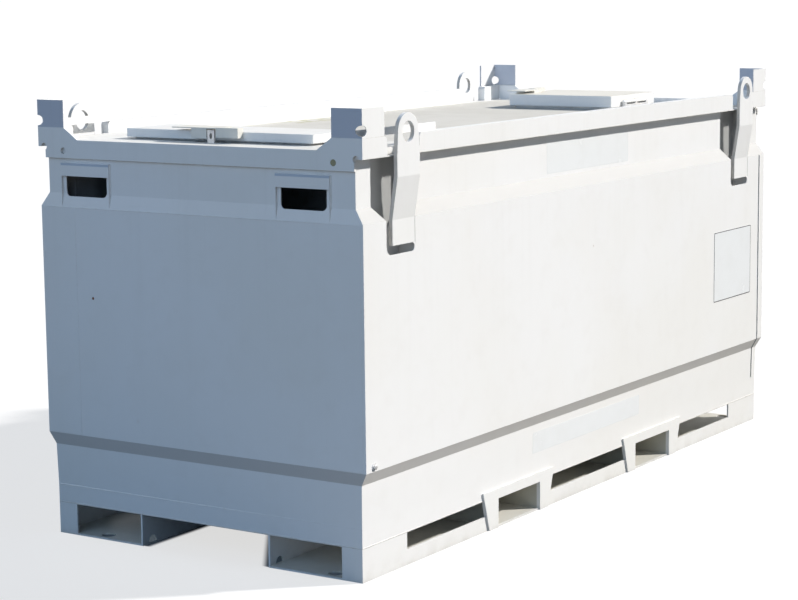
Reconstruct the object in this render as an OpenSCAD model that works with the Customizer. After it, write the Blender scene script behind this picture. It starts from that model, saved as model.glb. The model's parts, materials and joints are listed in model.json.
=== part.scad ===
// Bunded fuel tank: a folded steel bund shell on a skid base with fork pockets,
// an inner tank, a recessed deck inside roof rails, cranked lifting lugs and two hinged lids.
// Origin: centre of the footprint on the ground. +X runs along the length, +Z is up.

/* [Overall] */
// Length over the two end plates
tank_l = 5568; // [5200:4:5800]
// Width over the roof rails
rail_w = 2438; // [2300:2:2500]
// Height of the deck's top face
deck_z = 2476; // [2440:2:2510]

/* [Wall profile] */
// Thickness of the wall sheet
wall_t = 6; // [4:1:8]
// Inset of the base from the rail's outer face, on the long sides
base_in = 53; // [40:1:70]
// Inset of the middle wall from the rail's outer face
main_in = 5; // [2:1:12]
// Inset of the upper band from the rail's outer face
band_in = 64; // [50:1:75]
// Inset of the base from the end plate's outer face, at the ends
end_base_in = 24; // [18:1:40]
// Inset of the middle of the end wall from the end plate's outer face
end_main_in = 4; // [2:1:12]
// How far the lower band flares out on its way up
flare = 5; // [0:1:10]
// Height at which the lower band starts to flare
flare_z = 322; // [290:2:360]
// Height of the lower fold
low_fold_z = 581; // [540:1:620]
// Rise of the lower slope
low_slope_h = 77; // [60:1:100]
// Drop from the deck to the fold under the upper slope
up_fold_drop = 376; // [356:1:416]
// Rise of the upper slope
up_slope_h = 85; // [60:1:95]

/* [Base] */
// Height of the skid base, to the top of the bund floor
base_h = 208; // [190:2:230]
// Thickness of the bund floor
bund_floor_t = 8; // [6:1:12]
// Width of one skid
skid_w = 680; // [600:5:720]
// Thickness of the skid's plates
skid_t = 12; // [8:1:16]
// Thickness of the skid's floor
skid_floor_t = 10; // [6:1:14]
// Width of the post at each end of a skid
post_w = 145; // [110:5:170]
// Radius of the drain holes in the skid floor
drain_r = 46; // [25:1:50]
// Distance of the drain holes from the skid's end
drain_in = 75; // [70:1:120]
// How far the front skid's drain holes lie outside its middle
front_drain_out = 100; // [0:5:120]
// Length of the weep hole at the foot of the skid's inner plate
weep_l = 76; // [50:2:100]
// Height of the weep hole
weep_h = 42; // [25:1:60]
// Distance of the weep holes from the skid's end
weep_in = 96; // [60:2:140]
// Height of the strip under the side openings
strip_h = 96; // [85:1:115]
// Distance from the tank's end to the outer end of a side opening
side_open_in = 501; // [434:1:584]

/* [Fork pockets] */
// Distance from the middle of the tank to a fork pocket's middle
pocket_x = 958; // [900:2:1000]
// Width of a fork pocket
pocket_w = 538; // [450:2:560]
// Height of a fork pocket's roof above the ground
pocket_top = 190; // [170:1:195]
// Thickness of the fork pocket's side plates
pocket_t = 8; // [6:1:12]
// Thickness of the trapezoid plate round a fork pocket
frame_t = 12; // [8:1:24]
// Width of that plate at the ground
frame_low_w = 760; // [700:5:800]
// Width of that plate at its top
frame_top_w = 910; // [850:5:950]
// Height of that plate
frame_h = 255; // [235:5:280]

/* [Roof] */
// Thickness of the deck sheet
deck_t = 6; // [4:1:10]
// Height of the raised deck round the cabinet lid
step_h = 40; // [20:1:44]
// Distance from the cabinet lid to the inner edge of the raised deck
step_reach = 80; // [60:5:200]
// Height of the roof rails above the deck
rail_h = 114; // [90:1:130]
// Depth of the roof rail, front to back
rail_d = 60; // [45:1:80]
// Thickness of the rail's folded sheet
rail_t = 5; // [4:1:8]
// Gap cut in the rail behind each lifting lug
rail_gap = 341; // [300:1:400]
// Radius of the rail's upper corners beside that gap
rail_end_r = 28; // [10:1:40]
// Height of the flat bar that bridges the gap, on top of the rail
bar_h = 45; // [30:1:60]
// Thickness of that bar
bar_t = 12; // [8:1:16]
// Distance from the lug's middle to the front bar's inner end
front_bar_reach = 425; // [300:5:500]
// Distance from the lug's middle to the back bar's inner end
back_bar_reach = 215; // [200:5:500]
// Thickness of the end plate
end_plate_t = 20; // [12:1:24]
// Drop from the deck to the end plate's lower edge
end_plate_drop = 74; // [60:1:96]
// Height of the end plate above the deck between its ears
end_kerb_h = 40; // [25:1:60]
// Width of the level top of one ear
ear_w = 212; // [180:2:240]
// Width of the slope beside an ear
ear_slope_w = 106; // [60:2:140]
// Inset of the end plate's narrow lower part
end_plate_low_in = 57; // [40:1:64]
// Height of the end plate's narrow lower part
end_plate_low_h = 68; // [50:1:74]
// Radius of the round notch at the end plate's step
notch_r = 22; // [12:1:28]
// Radius of the hole in each end of the end plate
plate_hole_r = 20; // [12:1:22]
// Distance of that hole from the end plate's side
plate_hole_in = 202; // [150:2:240]
// Height of that hole above the end plate's lower edge
plate_hole_up = 46; // [25:1:60]

/* [Stacking angles] */
// Height of a stacking angle
angle_h = 170; // [120:5:200]
// Length of the angle's leg along the end
angle_end_leg = 212; // [180:2:240]
// Length of the angle's leg along the side
angle_side_leg = 228; // [180:2:240]
// Thickness of the angle
angle_t = 12; // [8:1:16]
// Radius of the hole through the angle's corner
angle_hole_r = 32; // [20:1:36]
// Height of that hole above the rail
angle_hole_h = 42; // [38:1:80]

/* [Lifting lugs] */
// Distance from the tank's end to a lug's middle
lug_in = 427; // [404:1:484]
// Width of a lug below the deck
lug_w = 240; // [220:2:270]
// Radius of a lug's round top
lug_top_r = 110; // [100:1:120]
// Thickness of a lug
lug_t = 25; // [20:1:30]
// How far the lug's upper part stands outside the rail
lug_out = 34; // [31:1:45]
// Height of the lug's hole above the deck
lug_hole_up = 130; // [104:1:164]
// Radius of the lug's hole
lug_hole_r = 62; // [35:1:70]
// Drop from the deck to the lug's lower edge
lug_low_drop = 526; // [476:2:576]
// Rise of the crank, which begins at the upper fold
crank_h = 250; // [150:2:290]
// Gap between the lug and the wall's slot, beside the lug
slot_gap = 63; // [50:1:90]
// How far the slot runs past the lug's other side, below it (negative stops short of it)
slot_over = -6; // [-20:1:20]
// Gap under the lug
slot_low_gap = 52; // [40:1:80]
// Radius of the slot's lower outer corner
slot_r = 48; // [20:1:49]
// Gap beside the lug in the upper band
recess_gap = 136; // [100:1:150]
// Gap on the lug's other side in the upper band
recess_gap_far = 33; // [20:1:60]
// Depth of the recess behind the upper band
recess_d = 80; // [50:1:100]
// Thickness of the recess sheet
recess_t = 5; // [4:1:8]
// Drop from the slot's lower edge to the recess's floor
recess_drop = 30; // [0:1:60]
// Distance from the lug's side to the rib behind its foot
rib_in = 40; // [10:1:80]

/* [Vent slots] */
// Distance from the middle of the end to the front slot's middle
front_slot_y = 793; // [760:1:850]
// Distance from the middle of the end to the back slot's middle
back_slot_y = 852; // [760:1:870]
// Width of a slot
slot_w = 325; // [260:5:340]
// Drop from the deck to a slot's lower edge
slot_drop = 310; // [286:1:326]
// Height of a slot
slot_h = 126; // [90:1:140]
// Radius of the slot's lower corners
slot_corner_r = 32; // [10:1:44]
// Drop from the deck to the hood's upper edge
hood_top_drop = 104; // [81:1:126]
// Depth of the hood's front lip
hood_lip_h = 80; // [50:1:100]
// Width of the hood outside the slot, on each side
hood_side = 30; // [20:1:50]
// Thickness of the hood's sheet
hood_t = 4; // [3:1:6]

/* [Lids] */
// Height of the cabinet lid's top face above the deck
near_lid_up = 106; // [95:1:115]
// Width of the cabinet lid, across the tank
near_lid_w = 1416; // [1200:2:1500]
// Length of the cabinet lid, along the tank
near_lid_l = 425; // [380:5:480]
// Distance of the cabinet lid's free edge from the end of the tank
near_lid_in = 239; // [220:1:300]
// Length of the cabinet lid's hinge
near_hinge_l = 808; // [500:4:1000]
// Height of the hatch lid's top face above the deck
far_lid_up = 108; // [95:1:120]
// Width of the hatch lid, across the tank
far_lid_w = 886; // [800:2:1000]
// Length of the hatch lid, along the tank
far_lid_l = 730; // [650:10:780]
// Distance of the hatch lid from the end of the tank
far_lid_in = 354; // [320:1:500]
// Length of the hatch lid's hinge
far_hinge_l = 380; // [300:4:500]
// Depth of the cabinet lid's skirt
near_skirt_h = 52; // [45:1:58]
// Depth of the hatch lid's skirt
far_skirt_h = 84; // [60:1:90]
// Radius of the lids' corners
lid_r = 14; // [5:1:30]
// Thickness of the lids' sheet
lid_t = 4; // [3:1:6]
// Clearance between the coaming and the outside of the skirt
coaming_in = 40; // [35:1:60]
// Thickness of the coaming
coaming_t = 6; // [4:1:8]
// Clearance between the coaming's top and the lid
seat_gap = 0.5; // [0.3:0.1:2]

/* [Hinges] */
// Height of the hinge axis above the skirt's lower edge
hinge_h = 36; // [30:1:45]
// Distance from the skirt to the hinge axis
hinge_off = 18; // [17:1:24]
// Radius of the hinge pin
pin_r = 6; // [4:0.5:8]
// Radial clearance of the hinge pin
pin_clear = 0.08; // [0.02:0.01:0.1]
// Outer radius of a hinge knuckle
knuckle_r = 12; // [10:0.5:13]
// Length of each fixed ear of a hinge
hinge_ear_l = 30; // [20:1:50]
// Gap between a fixed ear and the lid's knuckle
hinge_ear_gap = 1; // [0.5:0.5:3]
// Thickness of the fixed leaf below the knuckles
leaf_t = 8; // [5:1:10]
// Gap between the leaf and the knuckles
leaf_gap = 8; // [6:1:12]

/* [Locks] */
// Width of the plain lock box
lock_w = 166; // [120:2:200]
// Width of the lock box beside the lid's tab
side_lock_w = 100; // [70:2:130]
// Width of the space for the padlock, between the two lock boxes
lock_space = 87; // [75:1:110]
// How far that space lies from the middle of the lid
lock_shift = 9; // [0:1:40]
// Depth of the lock boxes, away from the skirt
lock_d = 55; // [45:1:80]
// Height of the lock boxes
lock_h = 60; // [50:1:64]
// Height of the plain lock box above the lid
lock_up = 26; // [20:1:40]
// Sheet thickness of the lock boxes
lock_t = 4; // [3:1:6]
// Height of the rain plate's underside above the lid
plate_up = 18; // [14:1:24]
// Thickness of the rain plate
plate_t = 6; // [4:1:8]
// Length of the rain plate, from the face of the lock boxes back over the lid
plate_l = 160; // [120:5:180]
// Width of the rain plate beyond the side lock box
plate_wing = 146; // [60:2:160]
// Width of the lid's tab
tab_w = 18; // [12:1:22]
// Width of the hasp plate
hasp_w = 51; // [40:1:54]
// Thickness of the hasp plate
hasp_t = 8; // [6:1:10]
// Gap between the hasp plate and the lid's tab, and below the rain plate
hasp_gap = 7; // [6:1:9]
// Width of the hasp plate's oval hole
hasp_hole_w = 21; // [15:1:26]
// Height of that hole
hasp_hole_h = 36; // [26:1:44]

/* [Inner tank] */
// Thickness of the inner tank's sheet
inner_t = 6; // [4:1:8]
// Clearance between the inner tank's side and the bund wall's base
inner_side_gap = 130; // [110:5:200]
// Clearance between the inner tank's far end and the bund wall's base
inner_end_gap = 140; // [100:5:300]
// Clearance between the cabinet's coaming and the inner tank's near end
cabinet_gap = 60; // [30:5:120]
// Height of the bearers under the inner tank
bearer_h = 80; // [60:5:120]
// Number of those bearers
bearer_n = 6; // [4:1:8]
// Clearance between the inner tank's roof and the deck
inner_top_gap = 96; // [90:2:150]
// Radius of the inner tank's manway
manway_r = 230; // [180:5:240]
// Thickness of the manway's neck
manway_t = 8; // [6:1:12]
// Height of the manway's neck
manway_h = 60; // [40:5:80]
// Width of the manway's flange
manway_flange = 45; // [30:1:50]
// Thickness of the manway's flange and cover
manway_cover_t = 12; // [8:1:14]

/* [Hidden] */
$fn = 64;
eps = 0.01;
half_l = tank_l / 2;
half_w = rail_w / 2;
rail_top_z = deck_z + rail_h;
wall_top_z = deck_z - deck_t;
base_x = half_l - end_base_in;
base_y = half_w - base_in;
band_x = half_l - end_plate_t;
band_y = half_w - band_in;
main_x = half_l - end_main_in;
main_y = half_w - main_in;
low_top_z = low_fold_z + low_slope_h;
up_fold_z = deck_z - up_fold_drop;
up_top_z = up_fold_z + up_slope_h;
end_plate_z = deck_z - end_plate_drop;
skid_top = base_h - bund_floor_t;
skid_in_y = base_y - skid_w;
side_open_x = half_l - side_open_in;
lug_x = half_l - lug_in;
lug_hole_z = deck_z + lug_hole_up;
lug_low_z = deck_z - lug_low_drop;
recess_deep_y = band_y - recess_d;
rib_x = lug_w / 2 - rib_in;
slot_low_z = lug_low_z - slot_low_gap;
slot_z = deck_z - slot_drop;
hood_top_z = deck_z - hood_top_drop;
near_lid_x0 = -half_l + near_lid_in;
near_lid_x1 = near_lid_x0 + near_lid_l;
near_low = near_lid_up - near_skirt_h;
far_low = far_lid_up - far_skirt_h;
far_lid_x1 = half_l - far_lid_in;
far_lid_x0 = far_lid_x1 - far_lid_l;
hatch_x = (far_lid_x0 + far_lid_x1) / 2;
inner_x0 = near_lid_x1 - coaming_in + cabinet_gap;
inner_x1 = base_x - inner_end_gap;
inner_y = base_y - inner_side_gap;
inner_z0 = base_h + bearer_h;
inner_z1 = wall_top_z - inner_top_gap;

// Outer line of a wall, as [distance from the middle, height], from the base to the deck.
function wall_line(base, main, band, inset = 0) = [
    [base - inset, base_h],
    [base - inset, flare_z],
    [base + flare - inset, low_fold_z],
    [main - inset, low_top_z],
    [main - inset, up_fold_z],
    [band - inset, up_top_z],
    [band - inset, wall_top_z]];
function reversed(list) = [for (i = [len(list) - 1:-1:0]) list[i]];
function side_line(inset = 0) = wall_line(base_y, main_y, band_y, inset);
function end_line(inset = 0) = wall_line(base_x, main_x, band_x, inset);

white = [0.93, 0.94, 0.94];
shade = [0.80, 0.83, 0.86];
cream = [0.88, 0.86, 0.80];
steel = [0.62, 0.64, 0.66];

// Extrudes a [y, z] outline along X, from x0 to x1.
module along_x(x0, x1) {
    translate([x0, 0, 0]) rotate([90, 0, 90]) linear_extrude(x1 - x0) children();
}

// Extrudes an [x, z] outline along Y, from y0 to y1.
module along_y(y0, y1) {
    translate([0, y1, 0]) rotate([90, 0, 0]) linear_extrude(y1 - y0) children();
}

// Repeats its child at +X and -X, or at +Y and -Y.
module both_x() { for (s = [0, 1]) mirror([s, 0, 0]) children(); }
module both_y() { for (s = [0, 1]) mirror([0, s, 0]) children(); }

// ---- Bund shell ----

module bund_floor() {
    color(white) translate([-base_x, -base_y, skid_top]) cube([2 * base_x, 2 * base_y, bund_floor_t]);
}

// The slot for a lug, in the wall's own plane, centred on the lug. It turns under the lug.
module lug_slot_outline() {
    left = -lug_w / 2 - slot_gap;
    band_left = -lug_w / 2 - recess_gap;
    right = lug_w / 2;
    band_right = lug_w / 2 + recess_gap_far;
    end_r = slot_low_gap / 2;
    end_x = right + slot_over - end_r;
    polygon([
        [left, slot_low_z + slot_r], [left + slot_r, slot_low_z], [end_x, slot_low_z],
        [end_x, lug_low_z], [right, lug_low_z], [right, up_fold_z],
        [band_right, up_top_z], [band_right, wall_top_z + eps], [band_left, wall_top_z + eps],
        [band_left, up_top_z], [left, up_fold_z]]);
    translate([left + slot_r, slot_low_z + slot_r]) circle(r = slot_r);
    translate([end_x, slot_low_z + end_r]) circle(r = end_r);
}

module long_wall() {
    difference() {
        intersection() {
            along_x(-half_l, half_l) polygon(concat(side_line(), reversed(side_line(wall_t))));
            along_y(-half_w, half_w)
                polygon(concat(end_line(wall_t), [for (p = reversed(end_line(wall_t))) [-p.x, p.y]]));
        }
        for (x = [-lug_x, lug_x])
            translate([x, 0, 0]) along_y(recess_deep_y, half_w) lug_slot_outline();
    }
}

module front_wall() { color(white) mirror([0, 1, 0]) long_wall(); }
module back_wall() { color(white) long_wall(); }

module end_wall() {
    intersection() {
        along_y(-half_w, half_w) polygon(concat(end_line(), reversed(end_line(wall_t))));
        along_x(0, half_l) polygon(concat(side_line(), [for (p = reversed(side_line())) [-p.x, p.y]]));
    }
}

// Outline of a vent slot: square above, rounded at its two lower corners.
module vent_outline() {
    r = slot_corner_r;
    translate([-slot_w / 2, r]) square([slot_w, slot_h - r]);
    translate([-slot_w / 2 + r, 0]) square([slot_w - 2 * r, r + eps]);
    for (s = [-1, 1]) translate([s * (slot_w / 2 - r), r]) circle(r = r);
}

module near_end_wall() {
    color(shade) mirror([1, 0, 0]) difference() {
        end_wall();
        for (y = [-front_slot_y, back_slot_y])
            translate([0, y, slot_z]) along_x(band_x - band_in, half_l) vent_outline();
    }
}

module far_end_wall() { color(white) end_wall(); }

// A hood over one vent slot: a front lip, a roof and two cheeks that run down to the slope.
module slot_hood(y) {
    w = slot_w + 2 * hood_side;
    cheek = [[band_x, up_top_z], [main_x, up_fold_z], [main_x, hood_top_z], [band_x, hood_top_z]];
    color(shade) mirror([1, 0, 0]) translate([0, y, 0]) {
        difference() {
            along_y(-w / 2, w / 2) polygon(cheek);
            along_y(-w / 2 + hood_t, w / 2 - hood_t)
                polygon([[band_x - eps, up_fold_z - eps], [main_x - hood_t, up_fold_z - eps],
                    [main_x - hood_t, hood_top_z - hood_t], [band_x - eps, hood_top_z - hood_t]]);
            translate([main_x - hood_t - eps, -w / 2 + hood_t, up_fold_z - eps])
                cube([2 * hood_t, w - 2 * hood_t, hood_top_z - hood_lip_h - up_fold_z]);
        }
    }
}

module front_slot_hood() { slot_hood(-front_slot_y); }
module back_slot_hood() { slot_hood(back_slot_y); }

// ---- Skid base ----

// Half width of the trapezoid plate at height z.
function frame_half(z) = (frame_low_w + (frame_top_w - frame_low_w) * z / frame_h) / 2;

// Side openings between the corners and the fork pockets.
module side_openings() {
    open_top = skid_top + eps;
    both_x() polygon([
        [pocket_x + frame_half(strip_h), strip_h], [side_open_x, strip_h],
        [side_open_x, open_top], [pocket_x + frame_half(open_top), open_top]]);
    polygon([
        [-pocket_x + frame_half(strip_h), strip_h], [pocket_x - frame_half(strip_h), strip_h],
        [pocket_x - frame_half(open_top), open_top], [-pocket_x + frame_half(open_top), open_top]]);
}

module skid(drain_out = 0) {
    drain_y = (skid_in_y + base_y) / 2 + drain_out;
    difference() {
        union() {
            difference() {
                translate([-base_x, base_y - skid_t, 0]) cube([2 * base_x, skid_t, skid_top]);
                along_y(base_y - 2 * skid_t, base_y + skid_t) side_openings();
            }
            translate([-base_x, skid_in_y, 0]) cube([2 * base_x, skid_t, skid_top]);
            translate([-base_x, skid_in_y, 0]) cube([2 * base_x, skid_w, skid_floor_t]);
            both_x() translate([base_x - skid_t, base_y - post_w, 0]) cube([skid_t, post_w, skid_top]);
        }
        for (x = [-pocket_x, pocket_x])
            translate([x - pocket_w / 2 - pocket_t, -half_w, skid_floor_t])
                cube([pocket_w + 2 * pocket_t, 2 * half_w, skid_top]);
        both_x() translate([base_x - drain_in, drain_y, -eps])
            cylinder(r = drain_r, h = skid_floor_t + 2 * eps);
        both_x() translate([base_x - weep_in, 0, skid_floor_t]) along_y(skid_in_y - skid_t, skid_in_y + 2 * skid_t)
            intersection() {
                scale([weep_l / 2, weep_h]) circle(r = 1);
                translate([-weep_l, 0]) square([2 * weep_l, 2 * weep_h]);
            }
    }
}

module front_skid() { color(white) mirror([0, 1, 0]) skid(front_drain_out); }
module back_skid() { color(white) skid(); }

// A tunnel across the base, with a trapezoid plate on each long side.
module fork_pocket() {
    color(white) translate([pocket_x, 0, 0]) {
        for (s = [-1, 1]) translate([s * (pocket_w + pocket_t) / 2 - pocket_t / 2, -base_y, skid_floor_t])
            cube([pocket_t, 2 * base_y, skid_top - skid_floor_t]);
        translate([-pocket_w / 2, -base_y, pocket_top])
            cube([pocket_w, 2 * base_y, skid_top - pocket_top]);
        both_y() difference() {
            along_y(base_y, base_y + frame_t) polygon([
                [-frame_low_w / 2, 0], [frame_low_w / 2, 0],
                [frame_top_w / 2, frame_h], [-frame_top_w / 2, frame_h]]);
            translate([-pocket_w / 2, base_y - eps, -eps]) cube([pocket_w, 2 * frame_t, pocket_top + eps]);
        }
    }
}

module near_fork_pocket() { mirror([1, 0, 0]) fork_pocket(); }
module far_fork_pocket() { fork_pocket(); }

// ---- Deck, rails, end plates and stacking angles ----

// The deck is a flat sheet, with a raised tray round the cabinet that is open below.
module deck() {
    side = half_w - rail_d;
    long = near_lid_x1 + step_reach + band_x;
    open_y = recess_deep_y - wall_t - step_h;
    color(cream) difference() {
        union() {
            translate([-band_x, -half_w, deck_z - deck_t]) cube([2 * band_x, rail_w, deck_t]);
            translate([-band_x, -side, deck_z - eps]) cube([long, 2 * side, step_h + eps]);
        }
        translate([-band_x + deck_t, -side + deck_t, deck_z])
            cube([long - 2 * deck_t, 2 * (side - deck_t), step_h - deck_t]);
        translate([-band_x + step_h, -open_y, deck_z - 2 * deck_t])
            cube([long - 2 * step_h, 2 * open_y, 3 * deck_t]);
        coaming_space(near_lid_x0, near_lid_l, near_lid_w);
        coaming_space(far_lid_x0, far_lid_l, far_lid_w);
    }
}

// The opening inside a coaming, cut through the deck.
module coaming_space(x0, l, w) {
    inset = coaming_in + coaming_t;
    translate([x0 + inset, -w / 2 + inset, deck_z - 2 * deck_t]) cube([l - 2 * inset, w - 2 * inset, 2 * deck_t + 2 * step_h]);
}

// Side view of one length of rail, with its upper corner rounded at the ends that are cut.
module rail_outline(x0, x1, cut0, cut1, inset) {
    r = rail_end_r - inset;
    z = rail_h - inset;
    full_x0 = cut0 ? x0 + r : x0;
    full_x1 = cut1 ? x1 - r : x1;
    translate([x0, deck_z]) square([x1 - x0, z - r]);
    translate([full_x0, deck_z]) square([full_x1 - full_x0, z]);
    if (cut0) translate([x0 + r, deck_z + z - r]) circle(r = r);
    if (cut1) translate([x1 - r, deck_z + z - r]) circle(r = r);
}

// A rail is a folded channel, open below, in three lengths that leave gaps at the lugs.
// At the cabinet end a flat bar on top bridges the gap and runs on to the corner.
module rail(reach) {
    cut_x0 = lug_x - rail_gap / 2;
    cut_x1 = lug_x + rail_gap / 2;
    for (e = [[-band_x, -cut_x1, false, true], [-cut_x0, cut_x0, true, true], [cut_x1, band_x, true, false]])
        difference() {
            along_y(half_w - rail_d, half_w) rail_outline(e[0], e[1], e[2], e[3], 0);
            translate([0, 0, -eps]) along_y(half_w - rail_d + rail_t, half_w - rail_t)
                rail_outline(e[0] + rail_t, e[1] - rail_t, e[2], e[3], rail_t);
        }
    translate([-half_l + angle_t, half_w - rail_d, rail_top_z])
        cube([half_l - angle_t - lug_x + reach, bar_t, bar_h]);
}

module front_rail() { color(white) mirror([0, 1, 0]) rail(front_bar_reach); }
module back_rail() { color(white) rail(back_bar_reach); }

module end_plate_outline() {
    step_y = half_w - end_plate_low_in;
    step_z = end_plate_z + end_plate_low_h;
    ear_y = half_w - ear_w;
    kerb_z = deck_z + end_kerb_h;
    right = [[step_y, end_plate_z], [step_y, step_z], [half_w, step_z],
        [half_w, rail_top_z], [ear_y, rail_top_z], [ear_y - ear_slope_w, kerb_z]];
    difference() {
        polygon(concat(right, [for (p = reversed(right)) [-p.x, p.y]]));
        for (s = [-1, 1]) {
            translate([s * (step_y + notch_r / 2), step_z]) circle(r = notch_r);
            translate([s * (half_w - plate_hole_in), end_plate_z + plate_hole_up]) circle(r = plate_hole_r);
        }
    }
}

module end_plate() { along_x(half_l - end_plate_t, half_l) end_plate_outline(); }

module near_end_plate() { color(shade) mirror([1, 0, 0]) end_plate(); }
module far_end_plate() { color(white) end_plate(); }

module stacking_angle() {
    color(shade) difference() {
        translate([half_l, half_w, rail_top_z]) union() {
            translate([-angle_t, -angle_end_leg, 0]) cube([angle_t, angle_end_leg, angle_h]);
            translate([-angle_side_leg, -angle_t, 0]) cube([angle_side_leg, angle_t, angle_h]);
        }
        translate([half_l, half_w, rail_top_z + angle_hole_h]) rotate([90, 0, -45])
            cylinder(r = angle_hole_r, h = 8 * angle_t, center = true);
    }
}

module far_back_angle() { stacking_angle(); }
module far_front_angle() { mirror([0, 1, 0]) stacking_angle(); }
module near_back_angle() { mirror([1, 0, 0]) stacking_angle(); }
module near_front_angle() { mirror([1, 0, 0]) mirror([0, 1, 0]) stacking_angle(); }

// ---- Lifting lugs and their recesses ----

// A lug is a plate that stands outside the rail and cranks in to lie flush with the wall.
module lug() {
    out_y = half_w + lug_out;
    crank_top = up_fold_z + crank_h;
    top_z = lug_hole_z + lug_top_r;
    color(white) difference() {
        intersection() {
            along_x(-lug_w / 2, lug_w / 2) polygon([
                [main_y, lug_low_z], [main_y, up_fold_z], [out_y, crank_top], [out_y, top_z],
                [out_y - lug_t, top_z], [out_y - lug_t, crank_top], [main_y - lug_t, up_fold_z],
                [main_y - lug_t, lug_low_z]]);
            along_y(recess_deep_y, out_y + lug_t) {
                translate([0, lug_hole_z]) circle(r = lug_top_r);
                polygon([[-lug_w / 2, lug_low_z], [lug_w / 2, lug_low_z], [lug_w / 2, deck_z],
                    [lug_top_r, lug_hole_z], [-lug_top_r, lug_hole_z], [-lug_w / 2, deck_z]]);
            }
        }
        translate([0, out_y + eps, lug_hole_z]) rotate([90, 0, 0]) cylinder(r = lug_hole_r, h = lug_t + 2 * eps);
    }
}

module far_back_lug() { translate([lug_x, 0, 0]) lug(); }
module far_front_lug() { mirror([0, 1, 0]) translate([lug_x, 0, 0]) lug(); }
module near_back_lug() { translate([-lug_x, 0, 0]) lug(); }
module near_front_lug() { mirror([0, 1, 0]) translate([-lug_x, 0, 0]) lug(); }

// The sheet box behind a lug's slot, with a rib that carries the lug's foot.
module recess() {
    x0 = -lug_w / 2 - recess_gap;
    x1 = lug_w / 2 + recess_gap_far;
    low = slot_low_z - recess_drop - recess_t;
    face = concat([[main_y - wall_t, low]],
        [for (p = side_line(wall_t)) if (p.y >= up_fold_z) p]);
    back = [[recess_deep_y - recess_t, wall_top_z], [recess_deep_y - recess_t, low]];
    color(shade) difference() {
        along_x(x0 - recess_t, x1 + recess_t) polygon(concat(face, back));
        translate([x0, recess_deep_y, low + recess_t]) cube([x1 - x0, half_w, deck_z]);
    }
    color(shade) translate([rib_x - recess_t, recess_deep_y - eps, lug_low_z])
        cube([recess_t, main_y - lug_t - recess_deep_y + eps, up_fold_z - lug_low_z]);
}

module far_back_recess() { translate([lug_x, 0, 0]) recess(); }
module far_front_recess() { mirror([0, 1, 0]) translate([lug_x, 0, 0]) recess(); }
module near_back_recess() { translate([-lug_x, 0, 0]) recess(); }
module near_front_recess() { mirror([0, 1, 0]) translate([-lug_x, 0, 0]) recess(); }

// ---- Coamings, lids, hinges and locks ----
// Each lid is drawn with its hinge axis along Y at x = 0, height 0 at the deck, and its free
// edge towards +X. Its length l runs along X and its width w along Y. Its top is up above the deck,
// its skirt ends at height low, and what is fixed to the deck stands on height foot.

module coaming(l, w, up, foot) {
    long = l - 2 * coaming_in;
    wide = w - 2 * coaming_in;
    high = up - lid_t - seat_gap - foot;
    translate([hinge_off + coaming_in, -w / 2 + coaming_in, foot]) difference() {
        cube([long, wide, high]);
        translate([coaming_t, coaming_t, -eps])
            cube([long - 2 * coaming_t, wide - 2 * coaming_t, high + 2 * eps]);
    }
}

// A round bar along Y, from y0 to y1, on the hinge axis.
module hinge_round(low, y0, y1, r) {
    translate([0, y1, low + hinge_h]) rotate([90, 0, 0]) cylinder(r = r, h = y1 - y0);
}

// The lid's two knuckles lie between three ears, at the ends and the middle of the hinge.
function knuckle_span(hinge_l) =
    [hinge_ear_l / 2 + hinge_ear_gap, hinge_l / 2 - hinge_ear_l - hinge_ear_gap];

// Plan of a lid with rounded corners, drawn in by the inset.
module lid_outline(l, w, inset) {
    r = lid_r - inset;
    x0 = hinge_off + inset;
    x1 = hinge_off + l - inset;
    side = w / 2 - inset;
    translate([x0 + r, -side]) square([x1 - x0 - 2 * r, 2 * side]);
    translate([x0, -side + r]) square([x1 - x0, 2 * side - 2 * r]);
    for (x = [x0 + r, x1 - r], y = [-side + r, side - r]) translate([x, y]) circle(r = r);
}

module lid(l, w, up, low, hinge_l) {
    span = knuckle_span(hinge_l);
    translate([0, 0, low]) difference() {
        linear_extrude(up - low) lid_outline(l, w, 0);
        translate([0, 0, -eps]) linear_extrude(up - low - lid_t + eps) lid_outline(l, w, lid_t);
    }
    both_y() difference() {
        union() {
            hinge_round(low, span[0], span[1], knuckle_r);
            translate([0, span[0], low + hinge_h]) cube([hinge_off + lid_t / 2, span[1] - span[0], knuckle_r]);
        }
        hinge_round(low, 0, hinge_l, pin_r + pin_clear);
    }
}

// Fixed ears on the deck, joined by the pin above and by a leaf below the knuckles.
module hinge_ears(low, hinge_l, foot) {
    ear_h = low + hinge_h - foot;
    ear_y = (hinge_l - hinge_ear_l) / 2;
    for (y = [-ear_y, 0, ear_y]) {
        hinge_round(low, y - hinge_ear_l / 2, y + hinge_ear_l / 2, knuckle_r);
        translate([-knuckle_r, y - hinge_ear_l / 2, foot]) cube([2 * knuckle_r, hinge_ear_l, ear_h]);
    }
    hinge_round(low, -hinge_l / 2, hinge_l / 2, pin_r);
    translate([-knuckle_r, -hinge_l / 2, foot]) cube([leaf_t, hinge_l, ear_h - knuckle_r - leaf_gap]);
}

// A sheet box open below, from x0 outwards and from y0 to y0 + w.
module open_box(x0, y0, w, z0, z1) {
    translate([x0, y0, z0]) difference() {
        cube([lock_d, w, z1 - z0]);
        translate([lock_t, lock_t, -eps]) cube([lock_d - 2 * lock_t, w - 2 * lock_t, z1 - z0 - lock_t]);
    }
}

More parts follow.
